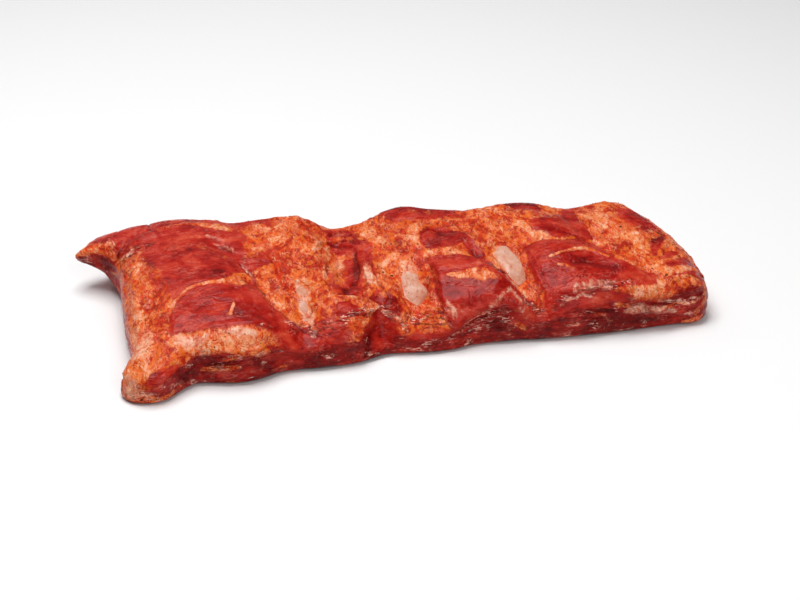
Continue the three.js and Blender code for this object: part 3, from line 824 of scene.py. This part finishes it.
# The skin tones also colour the painted sheen and glints.
SKIN_AND_SHEEN_TONES = ((0.3, (206, 116, 86)), (0.66, (232, 184, 158)))
BONE_TONES = (
    (0.3, (182, 90, 60)), (0.46, (196, 130, 102)), (0.62, (204, 150, 126)), (0.8, (210, 172, 156)),
)
FLAKE_TONES = ((0.35, (70, 26, 14)), (0.5, (96, 42, 20)), (0.62, (92, 62, 28)))
PEPPER_BROWN = colour(96, 30, 12)
STAIN_RED = colour(206, 50, 12)
GAP_RED = colour(176, 42, 22)
OIL_ORANGE = colour(228, 112, 38)
THREAD_CREAM = colour(234, 158, 116)
FIBRE_PINK = colour(216, 110, 92)
GLINT_PINK = colour(248, 186, 166)
CRACK_SHADE_RED = colour(88, 8, 7)


class Finish:
    """A material's nodes, added one after the other."""

    def __init__(self, name):
        self.material = bpy.data.materials.new(name)
        self.material.use_nodes = True
        self.tree = self.material.node_tree
        self.tree.nodes.clear()
        self.place = self.add("ShaderNodeTexCoord").outputs["Object"]

    def add(self, kind, inputs=None, **settings):
        node = self.tree.nodes.new(kind)
        for key, value in settings.items():
            setattr(node, key, value)
        for key, value in (inputs or {}).items():
            if isinstance(value, bpy.types.NodeSocket):
                self.tree.links.new(value, node.inputs[key])
            else:
                node.inputs[key].default_value = value
        return node

    def grain(self, size, stretch=(1, 1, 1), detail=2.0, roughness=0.5, seed=0.0, twist=0.0):
        """Noise from 0 to 1 with swells of about size millimetres, stretched along each axis."""
        scale = [1 / (size * MM * along) for along in stretch]
        inputs = {"Vector": self.place, "Scale": scale, "Location": (seed, seed, seed)}
        spots = self.add("ShaderNodeMapping", inputs).outputs["Vector"]
        inputs = {"Vector": spots, "Scale": 1.0, "Detail": detail, "Roughness": roughness}
        return self.add("ShaderNodeTexNoise", inputs | {"Distortion": twist}).outputs[0]

    def strands(self, size, stretch, seed, twist):
        """Winding ridges from 0 to 1, about size millimetres apart."""
        swells = self.grain(size, stretch, seed=seed, twist=twist)
        slope = self.math("ABSOLUTE", self.math("SUBTRACT", swells, 0.5))
        return self.step(slope, 0.0, 0.22, 1.0, 0.0)

    def paint(self, name):
        return self.add("ShaderNodeAttribute", attribute_name=name).outputs["Fac"]

    def math(self, operation, first, second=0.0):
        return self.add("ShaderNodeMath", {0: first, 1: second}, operation=operation).outputs[0]

    def times(self, first, *others):
        """The product of all the values."""
        for other in others:
            first = self.math("MULTIPLY", first, other)
        return first

    def total(self, *parts):
        """The sum of values and of (value, weight) pairs."""
        result = 0.0
        for part in parts:
            value, weight = part if isinstance(part, tuple) else (part, 1.0)
            inputs = {0: value, 1: weight, 2: result}
            result = self.add("ShaderNodeMath", inputs, operation="MULTIPLY_ADD").outputs[0]
        return result

    def step(self, value, low, high, bottom=0.0, top=1.0):
        inputs = {"Value": value, "From Min": low, "From Max": high, "To Min": bottom, "To Max": top}
        return self.add("ShaderNodeMapRange", inputs, interpolation_type="SMOOTHSTEP").outputs["Result"]

    def mix(self, share, under, over):
        return self.add("ShaderNodeMix", {0: share, 6: under, 7: over}, data_type="RGBA").outputs[2]

    def tones(self, share, stops):
        """The colour at a share of the way along a list of (share, colour) stops."""
        ramp = self.add("ShaderNodeValToRGB", {"Fac": share})
        points = ramp.color_ramp.elements
        while len(points) < len(stops):
            points.new(0.5)
        for point, (position, shade) in zip(points, stops):
            point.position = position
            point.color = colour(*shade)
        return ramp.outputs["Color"]

    def relief(self, height, distance):
        """Bumps up to distance millimetres high."""
        inputs = {"Height": height, "Distance": distance * MM, "Strength": 1.0}
        return self.add("ShaderNodeBump", inputs).outputs[0]

    def shine(self, inputs):
        shader = self.add("ShaderNodeBsdfPrincipled", inputs)
        self.add("ShaderNodeOutputMaterial", {"Surface": shader.outputs[0]})
        return self.material


def bare_muscle(look):
    """Colour and bumps of muscle: a cloudy red with fine pink threads."""
    fibres = look.grain(1.1, (6, 1.8, 1.2), roughness=0.6, seed=1, twist=0.4)
    cloudy = look.grain(13, (1.6, 1.1, 1), detail=3, seed=2, twist=0.6)
    blotted = look.grain(5, (1.7, 1.3, 1), detail=3, seed=14, twist=1.6)
    # Painted light and shade: paler on the crests of the lumps, darker in creases, underneath and on the
    # cut front.
    depth = look.total(
        (cloudy, 1.05), (fibres, 0.3), (blotted, 0.5), (look.paint("crest"), 0.15),
        (look.paint("shade_and_deep_red"), -0.32), -0.555,
    )
    threads = look.step(look.strands(3, (3.2, 1.7, 1), seed=25, twist=1.6), 0.9, 0.99, 0.0, 0.35)
    some = look.step(look.grain(8, (1.6, 1, 1), seed=26), 0.48, 0.62)
    tone = look.mix(look.times(threads, some), look.tones(depth, MUSCLE_TONES), FIBRE_PINK)
    ripples = look.strands(8, (1.6, 1.2, 1), seed=34, twist=1.6)
    return tone, look.total((blotted, 0.4), (fibres, 0.06), (ripples, 0.2), 0.06)


def stained_fat(look, broad, curds, flecks):
    """Colour and bumps of fat: curds of cream and orange, rubbed with paprika, with red gaps between."""
    cream = look.paint("cream")
    stain = look.paint("stain")
    curls = look.strands(4.2, (1.1, 2.4, 1), seed=4, twist=2.0)
    grit = look.grain(1.1, (1, 2.6, 0.9), roughness=0.6, seed=16, twist=0.8)
    # Painted light and shade: the fat is paler on the crests of the lumps, darker in creases, underneath
    # and on the cut front.
    pale = look.total(
        (curls, 0.2), (look.step(curds, 0.44, 0.56), 0.28), (look.step(flecks, 0.44, 0.56), 0.18),
        (grit, 0.4), (broad, 1.4), (cream, 0.3), (stain, -0.12), (look.paint("crest"), 0.2),
        (look.paint("inner"), 0.06), (look.paint("shade_and_deep_red"), -0.2), -1.1,
    )
    oiled = look.step(look.grain(8, (1, 1.7, 1), seed=33, twist=2.4), 0.5, 0.6, 0.0, 0.65)
    tone = look.mix(oiled, look.tones(pale, FAT_TONES), OIL_ORANGE)
    rubbed = look.step(look.grain(7, (1, 1.9, 1), detail=3, seed=12, twist=2.6), 0.48, 0.57, 0.0, 0.8)
    zone = look.step(look.grain(15, (1, 1.3, 1), seed=37, twist=0.8), 0.42, 0.58, 0.25, 1.0)
    tone = look.mix(look.times(rubbed, look.math("MAXIMUM", stain, look.times(zone, 0.6))), tone, STAIN_RED)
    gaps = look.step(look.strands(4, (1, 2.2, 1), seed=27, twist=2.4), 0.86, 0.99, 0.0, 0.5)
    some = look.step(look.total(look.grain(6, (1, 1.6, 1), seed=28), (cream, -0.2)), 0.46, 0.58)
    tone = look.mix(look.times(gaps, some, zone), tone, GAP_RED)
    threads = look.step(look.strands(3.4, (1, 2.4, 1), seed=29, twist=2.2), 0.86, 0.99, 0.0, 0.6)
    some = look.step(look.total(look.grain(5, (1, 1.6, 1), seed=30), (cream, 0.08)), 0.48, 0.6)
    tone = look.mix(look.times(threads, some), tone, THREAD_CREAM)
    return tone, look.total((curls, 0.2), (flecks, 0.45), (curds, 0.7), (grit, 0.08), -0.33)


def pepper(look, spacing, share_without, radius):
    """Dark specks about spacing millimetres apart, with radius as a share of that, in some of the cells."""
    cells = look.add("ShaderNodeTexVoronoi", {"Vector": look.place, "Scale": 1 / (spacing * MM)})
    cell = look.add("ShaderNodeSeparateColor", {0: cells.outputs["Color"]})
    kept = look.math("GREATER_THAN", cell.outputs[0], share_without)
    reach = look.total((cell.outputs[1], radius), radius)
    return look.times(look.math("LESS_THAN", cells.outputs["Distance"], reach), kept)


def marinated_meat():
    """Wet muscle, paprika-stained fat, silver skin and pepper, with painted sheen, glints and shade."""
    look = Finish("marinated_meat")
    wet_and_glints = look.paint("wet_and_glints")
    broad = look.grain(10, (1, 1.4, 1), seed=3, twist=0.8)
    curds = look.grain(9, (1, 1.7, 1), seed=24, twist=2.6)
    flecks = look.grain(4, (1, 1.9, 1), seed=5, twist=2.2)
    ragged = look.grain(2.6, (1, 1.8, 1), detail=5, roughness=0.65, twist=0.8)
    fat = look.step(look.total(look.paint("fat"), (ragged, 1.3), (broad, 0.9), -1.1), 0.3, 0.74)
    muscle_tone, muscle_bumps = bare_muscle(look)
    fat_tone, fat_bumps = stained_fat(look, broad, curds, flecks)
    tone = look.mix(fat, muscle_tone, fat_tone)

    # Silver skin and painted sheen: pale greyish pink, broken up by noise.
    skin_and_sheen_edge = look.total(look.paint("skin_and_sheen"), (broad, 1.2), (flecks, 1.2), -1.2)
    skin_and_sheen = look.step(skin_and_sheen_edge, 0.2, 1.0, 0.0, 0.82)
    tone = look.mix(skin_and_sheen, tone, look.tones(look.total((curds, 1.1), (flecks, 0.7), -0.4), SKIN_AND_SHEEN_TONES))

    # Painted glints: pale pink dashes along winding lines, dense where it is wet and on the cut front.
    web = look.strands(2.2, (2.8, 1.5, 0.7), seed=21, twist=1.0)
    some = look.grain(6, (1.8, 1.4, 0.8), roughness=0.6, seed=22)
    some = look.step(look.total(some, (wet_and_glints, 0.24), -0.26), 0.44, 0.56)
    tone = look.mix(look.times(look.step(web, 0.88, 0.98, 0.0, 0.8), some), tone, GLINT_PINK)
    # Painted shade: dark red crack lines where it is wet and on the cut front.
    crack_shade = look.step(look.strands(3.4, (4.5, 2, 0.7), seed=36, twist=0.8), 0.8, 0.98, 0.0, 0.65)
    tone = look.mix(look.times(crack_shade, wet_and_glints), tone, CRACK_SHADE_RED)

    patchy = look.step(look.grain(9, seed=31), 0.42, 0.6, 0.15, 1.0)
    specks = look.math("MAXIMUM", pepper(look, 1.5, 0.6, 0.15), pepper(look, 3.4, 0.62, 0.11))
    tone = look.mix(look.times(specks, patchy, look.step(fat, 0.0, 1.0, 0.3, 0.8)), tone, PEPPER_BROWN)

    rough = look.step(look.grain(2.4, detail=3, seed=9), 0.3, 0.75, 0.2, 0.36)
    muscle = look.math("SUBTRACT", 1.0, fat)
    bumps = look.total((fat_bumps, fat), (muscle_bumps, muscle), (web, look.times(wet_and_glints, 0.3)))
    relief = look.relief(look.total((bumps, look.total((skin_and_sheen, -0.8), 1.0)), (skin_and_sheen, 0.4)), 1.0)
    return look.shine({
        "Base Color": tone,
        "Roughness": look.total((fat, 0.08), (skin_and_sheen, -0.06), (wet_and_glints, -0.06), rough),
        "Normal": relief,
        "IOR": 1.36,
        "Specular IOR Level": 0.14,
        "Coat Weight": 0.14,
        "Coat Roughness": 0.14,
        "Coat IOR": 1.33,
        "Coat Normal": relief,
        "Subsurface Weight": 0.05,
        "Subsurface Radius": (1.0, 0.35, 0.2),
        "Subsurface Scale": 1.2 * MM,
    })


def bare_bone():
    """Scraped rib bone: smooth, wet, pinkish white, with fat at its edge."""
    look = Finish("bare_bone")
    curds = look.grain(5.4, (1, 2, 1), detail=4, roughness=0.6, seed=24, twist=1.6)
    flecks = look.grain(1.8, (1, 2.4, 1), detail=3, roughness=0.65, seed=5, twist=1.2)
    streaks = look.grain(4, (1, 2.5, 1), detail=4, roughness=0.6, seed=1, twist=0.8)
    bare = look.paint("bare")
    clean = look.tones(look.total((streaks, 1.1), (flecks, 0.4), (bare, 0.25), -0.42), BONE_TONES)
    fatty = look.tones(look.total(curds, flecks, -0.42), FAT_TONES)
    edge = look.total(bare, (curds, 0.9), (flecks, 0.8), -0.85)
    return look.shine({
        "Base Color": look.mix(look.step(edge, 0.2, 0.9), fatty, clean),
        "Roughness": look.step(look.grain(3, seed=3), 0.3, 0.7, 0.34, 0.5),
        "Normal": look.relief(look.total((streaks, 0.4), (flecks, 0.25)), 0.5),
        "IOR": 1.38,
        "Coat Weight": 0.15,
        "Coat Roughness": 0.2,
        "Coat IOR": 1.33,
        "Subsurface Weight": 0.08,
        "Subsurface Radius": (1.0, 0.5, 0.35),
        "Subsurface Scale": 1.5 * MM,
    })


def seasoning_finish():
    """Crushed pepper and dried herb, from brown black to dull green."""
    look = Finish("seasoning")
    tone = look.tones(look.grain(9, detail=1, seed=1), FLAKE_TONES)
    return look.shine({"Base Color": tone, "Roughness": 0.6, "IOR": 1.4, "Specular IOR Level": 0.2})


def pale_floor():
    return Finish("pale_floor").shine({"Base Color": (0.86, 0.86, 0.86, 1), "Roughness": 0.7})


def dress(piece, finish, node=None):
    piece.data.materials.clear()
    piece.data.materials.append(finish)
    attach(piece, "root")
    if node:
        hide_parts(node)


# Crushed pepper and herb that sticks to the meat: how many flakes, and their half length in millimetres.
FLAKES = ((700, 0.2, 0.4), (80, 0.4, 0.7), (8, 0.9, 1.3))
# Half the thickness of a flake, as a share of its half width and on top of that in millimetres.
FLAKE_THICKNESS = (0.25, 0.12)
# How far the middle of a flake lies above the surface, in millimetres.
FLAKE_LIFT = 0.1
# How far its corners are pulled about, as a share of its half width.
FLAKE_RAGGEDNESS = 0.16


def scatter_seasoning(slab):
    """Small irregular flakes, pressed into the fat and the muscle."""
    chance = np.random.default_rng(11)
    mesh = slab.data
    places = vectors_of(mesh.vertices, "co")
    normals = vectors_of(mesh.vertex_normals, "vector")
    fat = np.zeros(len(places), np.float32)
    mesh.attributes["fat"].data.foreach_get("value", fat)
    patchy = swell(places / MM, 18, 41)
    liking = smoothstep(-0.2, 0.3, normals[:, 2]) * (0.25 + 0.75 * fat) * smoothstep(-0.5, 0.5, patchy)
    liking /= liking.sum()
    flakes = bmesh.new()
    for count, shortest, longest in FLAKES:
        for index in chance.choice(len(places), count, replace=False, p=liking):
            half_length = chance.uniform(shortest, longest) * MM
            half_width = half_length * chance.uniform(0.45, 0.9)
            half_height = FLAKE_THICKNESS[0] * half_width + FLAKE_THICKNESS[1] * MM
            turn = Matrix.Rotation(chance.uniform(0, math.tau), 4, "Z")
            tilt = Vector(normals[index]).to_track_quat("Z", "Y").to_matrix().to_4x4()
            size = Matrix.Diagonal((half_length, half_width, half_height, 1))
            where = Matrix.Translation(Vector(places[index]) + Vector(normals[index]) * FLAKE_LIFT * MM)
            made = bmesh.ops.create_icosphere(
                flakes, subdivisions=1, radius=1, matrix=where @ tilt @ turn @ size
            )["verts"]
            for vert in made:
                vert.co += Vector(chance.uniform(-FLAKE_RAGGEDNESS, FLAKE_RAGGEDNESS, 3)) * half_width
    return new_piece("seasoning", flakes)


bone_finish = bare_bone()
for bone_name in BONES:
    dress(smooth_bone(bone_name), bone_finish, bone_name)
bpy.context.view_layer.update()
meat = carve_meat(filled_slab())
dress(meat, marinated_meat(), "meat")
dress(scatter_seasoning(meat), seasoning_finish())

FLOOR_HALF_SIZE = 3.0
# A hair below the rack, so that the two surfaces don't coincide.
FLOOR_DROP = 0.0003
# Soft lights, all of them aimed at the rack: place, size and power.
LIGHTS = {
    "soft_top": ((-0.2, 0.12, 1.35), (1.2, 0.8), 20.2),
    "sheen": ((0.05, 1.3, 0.7), (1.2, 0.3), 0.25),
    "glint": ((-0.5, 0.8, 0.8), (0.3, 0.3), 0.7),
    "soft_front": ((0.4, -1.3, 0.9), (1.0, 0.7), 8.0),
}
WORLD_LIGHT = 0.15
# The view: 26 degrees down, the rack turned 10.5 degrees away from the camera's right.
CAMERA_PLACE = (-179.7, -991.4, 500.9)
CAMERA_DROP = 26.0
RACK_TURN = 10.5
FOCAL_LENGTH = 87.66
SENSOR_WIDTH = 36.0


def make_floor():
    flat = bmesh.new()
    bmesh.ops.create_grid(flat, x_segments=1, y_segments=1, size=FLOOR_HALF_SIZE)
    floor = new_piece("floor", flat)
    floor.location = (0, 0, -FLOOR_DROP)
    floor.data.materials.append(pale_floor())


def light_studio():
    for name, (place, size, power) in LIGHTS.items():
        lamp = bpy.data.lights.new(name, "AREA")
        lamp.shape = "RECTANGLE"
        lamp.size, lamp.size_y = size
        lamp.energy = power
        light = add_object(name, lamp)
        light.location = place
        light.rotation_euler = (-Vector(place)).to_track_quat("-Z", "Y").to_euler()
    world = bpy.data.worlds.new("studio")
    world.use_nodes = True
    background = world.node_tree.nodes["Background"]
    background.inputs["Color"].default_value = (1, 1, 1, 1)
    background.inputs["Strength"].default_value = WORLD_LIGHT
    bpy.context.scene.world = world


def place_camera():
    lens = bpy.data.cameras.new("camera")
    lens.lens = FOCAL_LENGTH
    lens.sensor_width = SENSOR_WIDTH
    lens.sensor_fit = "HORIZONTAL"
    lens.clip_end = 20
    camera = add_object("camera", lens)
    camera.location = [value * MM for value in CAMERA_PLACE]
    camera.rotation_euler = (math.radians(90 - CAMERA_DROP), 0, -math.radians(RACK_TURN))
    bpy.context.scene.camera = camera


make_floor()
light_studio()
place_camera()
bpy.context.scene.view_settings.view_transform = "Standard"
